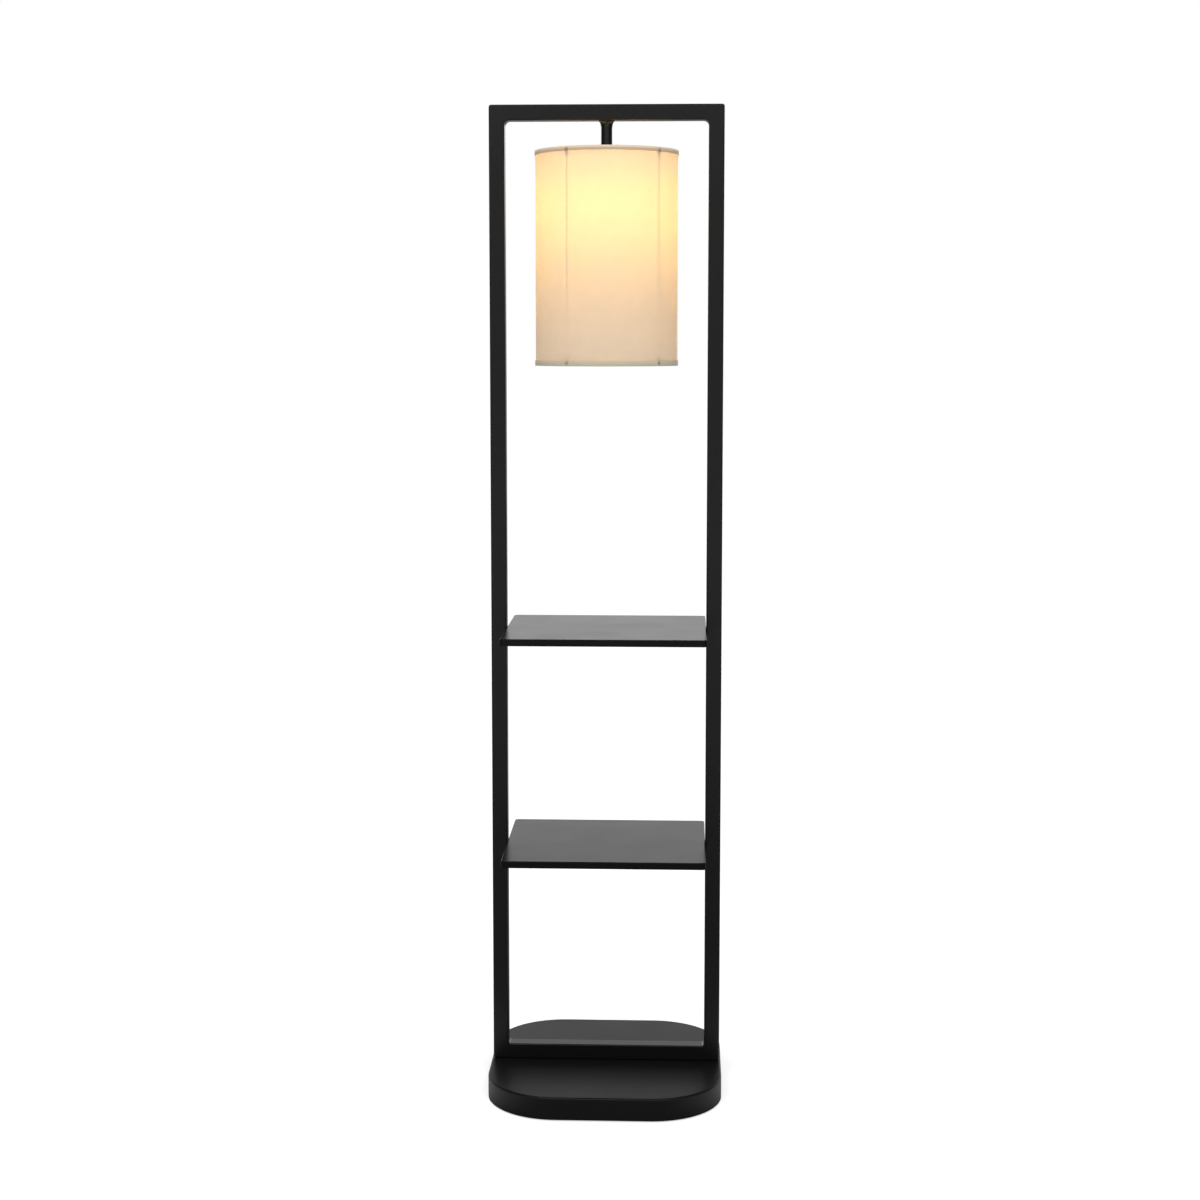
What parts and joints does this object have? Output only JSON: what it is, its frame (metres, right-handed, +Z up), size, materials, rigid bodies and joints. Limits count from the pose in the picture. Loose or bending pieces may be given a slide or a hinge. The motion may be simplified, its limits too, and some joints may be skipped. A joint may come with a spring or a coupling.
{
  "type": "shelf floor lamp",
  "caption": "Tall black metal frame lamp with a weighted base with round corners, shelves between the posts and a cream fabric drum shade hung from the top bar.",
  "frame": {"origin": "on the floor under the middle of the base", "axes": "+Z up, +X along the bars to the right post, -Y towards the front"},
  "size_m": [0.38, 0.38, 1.6],
  "materials": {
    "frame_paint": "satin black powder coat",
    "shelf_paint": "satin black powder coat",
    "base_paint": "satin black powder coat",
    "plate_paint": "matt black paint",
    "zinc_steel": "zinc plated",
    "cast_weight": "cast, unfinished",
    "foot_rubber": "matt",
    "holder_plastic": "gloss",
    "ring_plastic": "gloss",
    "core_ceramic": "unglazed",
    "brass": "bare",
    "nickel": "nickel plated",
    "bulb_insulator": "glazed black",
    "opal_glass": "opal",
    "shade_wire": "white coating",
    "ferrule_plastic": "matt brown",
    "shade_fabric": "plain weave, cream",
    "tape_fabric": "plain weave, cream",
    "lead_sheath": "matt black",
    "bush_rubber": "matt"
  },
  "bodies": {
    "stand": {"left_post": "frame_paint", "right_post": "frame_paint", "top_bar": "frame_paint", "bottom_bar": "frame_paint", "base_cover": "base_paint", "base_weight": "cast_weight", "base_clamp_bar": "zinc_steel", "base_plate": "plate_paint", "base_feet": "foot_rubber", "base_standoffs": "zinc_steel", "plate_screws": "zinc_steel", "frame_bolts": "zinc_steel", "frame_washers": "zinc_steel", "frame_inserts": "zinc_steel", "upper_shelf": "shelf_paint", "lower_shelf": "shelf_paint", "shelf_screws": "zinc_steel", "shelf_inserts": "zinc_steel", "threaded_pipe": "zinc_steel", "pipe_nut": "zinc_steel", "stem": "frame_paint", "stem_collar": "frame_paint", "socket_cap": "holder_plastic", "socket_body": "holder_plastic", "socket_core": "core_ceramic", "terminal_screws": "brass", "screw_shell": "brass", "centre_contact": "brass", "internal_lead": "lead_sheath", "outlet_bushing": "bush_rubber"},
    "shade": {"shade_spider": "shade_wire", "shade_washer": "shade_wire", "shade_bottom_ring": "shade_wire", "shade_struts": "shade_wire", "strut_ferrules": "ferrule_plastic", "shade_skin": "shade_fabric", "shade_top_tape": "tape_fabric", "shade_bottom_tape": "tape_fabric"},
    "clamp_ring": {"shade_clamp_ring": "ring_plastic"},
    "bulb": {"bulb_glass": "opal_glass", "bulb_cap": "nickel", "bulb_tip": "bulb_insulator"}
  },
  "joints": [
    {"name": "shade_turn", "type": "hinge", "parent": "stand", "child": "shade", "pos_m": [0, 0, 1.498], "axis": [0, 0, 1], "continuous": true},
    {"name": "clamp_ring_turn", "type": "hinge", "parent": "stand", "child": "clamp_ring", "pos_m": [0, 0, 1.4935], "axis": [0, 0, 1], "range_deg": [-1080, 0]},
    {"name": "bulb_turn", "type": "hinge", "parent": "stand", "child": "bulb", "pos_m": [0, 0, 1.4935], "axis": [0, 0, 1], "range_deg": [-1800, 0]}
  ]
}
